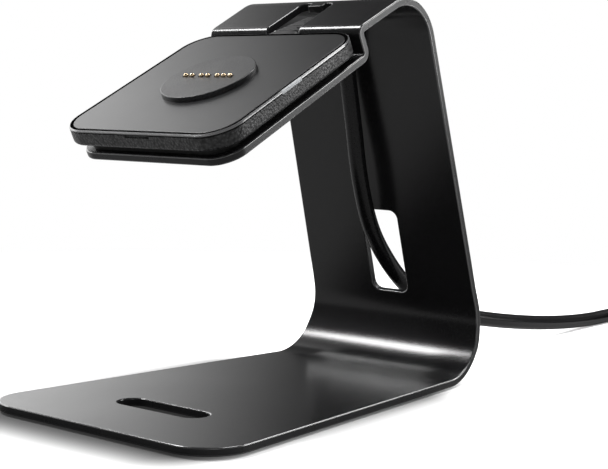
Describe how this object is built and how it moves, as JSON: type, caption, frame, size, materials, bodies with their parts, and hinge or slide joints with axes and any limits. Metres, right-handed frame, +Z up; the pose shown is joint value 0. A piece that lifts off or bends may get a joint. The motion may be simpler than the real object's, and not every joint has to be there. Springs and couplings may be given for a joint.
{
  "type": "magnetic charging station",
  "caption": "Black bent-sheet desk stand with a sloping magnetic charging pad, seven sprung contact pins and a cable that runs through the upright to a plug.",
  "frame": {"origin": "middle of the stand's footprint at the level it rests on, without the free cable", "axes": "+Z up, -Y towards the user, +X to the user's right"},
  "size_m": [0.1271, 0.3818, 0.1265],
  "materials": {
    "black_anodised": "satin, black anodised, fine texture",
    "foot_rubber": "matte",
    "plinth_black": "matte",
    "grained_case": "fine grain",
    "cover_grey": "soft satin",
    "disc_grey": "fine soft-touch texture",
    "gasket_black": "matte",
    "board_green": "solder mask",
    "chip_black": "moulded",
    "ivory_plastic": "moulded",
    "clear_window": "translucent, frosted",
    "magnet_nickel": "nickel plated",
    "gold_contact": "gold plated",
    "spring_steel": "drawn wire",
    "screw_steel": "machined",
    "wire_red": "insulation",
    "wire_black": "insulation",
    "wire_green": "insulation",
    "wire_white": "insulation",
    "cable_black": "satin jacket",
    "plug_black": "moulded",
    "plug_steel": "stamped sheet"
  },
  "bodies": {
    "stand": {"stand_plate": "black_anodised", "foot_front_left": "foot_rubber", "foot_front_right": "foot_rubber", "foot_back_left": "foot_rubber", "foot_back_right": "foot_rubber", "pad_plinth": "plinth_black", "tray_screws": "screw_steel", "pad_case": "grained_case", "cover_gasket": "gasket_black", "pad_cover": "cover_grey", "contact_disc": "disc_grey", "circuit_board": "board_green", "control_chip": "chip_black", "wire_terminal": "ivory_plastic", "light_source": "ivory_plastic", "light_pipe": "clear_window", "magnet_1": "magnet_nickel", "magnet_2": "magnet_nickel", "magnet_3": "magnet_nickel", "magnet_4": "magnet_nickel", "pin_barrel_1": "gold_contact", "pin_barrel_2": "gold_contact", "pin_barrel_3": "gold_contact", "pin_barrel_4": "gold_contact", "pin_barrel_5": "gold_contact", "pin_barrel_6": "gold_contact", "pin_barrel_7": "gold_contact", "pin_spring_1": "spring_steel", "pin_spring_2": "spring_steel", "pin_spring_3": "spring_steel", "pin_spring_4": "spring_steel", "pin_spring_5": "spring_steel", "pin_spring_6": "spring_steel", "pin_spring_7": "spring_steel", "wire_red": "wire_red", "wire_black": "wire_black", "wire_green": "wire_green", "wire_white": "wire_white", "cable_boot": "cable_black", "cable": "cable_black", "cable_coil": "cable_black", "plug_grip": "plug_black", "plug_shell": "plug_steel", "plug_tongue": "ivory_plastic", "plug_contacts": "gold_contact"},
    "pin_1": {"pin_plunger_1": "gold_contact"},
    "pin_2": {"pin_plunger_2": "gold_contact"},
    "pin_3": {"pin_plunger_3": "gold_contact"},
    "pin_4": {"pin_plunger_4": "gold_contact"},
    "pin_5": {"pin_plunger_5": "gold_contact"},
    "pin_6": {"pin_plunger_6": "gold_contact"},
    "pin_7": {"pin_plunger_7": "gold_contact"}
  },
  "joints": [
    {"name": "pin_1_press", "type": "slide", "parent": "stand", "child": "pin_1", "axis": [0, 0.4509, -0.8926], "range_m": [0, 0.0007], "stiffness_N_per_m": 800, "springref_m": -0.0004, "deforming": ["pin_spring_1"]},
    {"name": "pin_2_press", "type": "slide", "parent": "stand", "child": "pin_2", "axis": [0, 0.4509, -0.8926], "range_m": [0, 0.0007], "stiffness_N_per_m": 800, "springref_m": -0.0004, "deforming": ["pin_spring_2"]},
    {"name": "pin_3_press", "type": "slide", "parent": "stand", "child": "pin_3", "axis": [0, 0.4509, -0.8926], "range_m": [0, 0.0007], "stiffness_N_per_m": 800, "springref_m": -0.0004, "deforming": ["pin_spring_3"]},
    {"name": "pin_4_press", "type": "slide", "parent": "stand", "child": "pin_4", "axis": [0, 0.4509, -0.8926], "range_m": [0, 0.0007], "stiffness_N_per_m": 800, "springref_m": -0.0004, "deforming": ["pin_spring_4"]},
    {"name": "pin_5_press", "type": "slide", "parent": "stand", "child": "pin_5", "axis": [0, 0.4509, -0.8926], "range_m": [0, 0.0007], "stiffness_N_per_m": 800, "springref_m": -0.0004, "deforming": ["pin_spring_5"]},
    {"name": "pin_6_press", "type": "slide", "parent": "stand", "child": "pin_6", "axis": [0, 0.4509, -0.8926], "range_m": [0, 0.0007], "stiffness_N_per_m": 800, "springref_m": -0.0004, "deforming": ["pin_spring_6"]},
    {"name": "pin_7_press", "type": "slide", "parent": "stand", "child": "pin_7", "axis": [0, 0.4509, -0.8926], "range_m": [0, 0.0007], "stiffness_N_per_m": 800, "springref_m": -0.0004, "deforming": ["pin_spring_7"]}
  ]
}
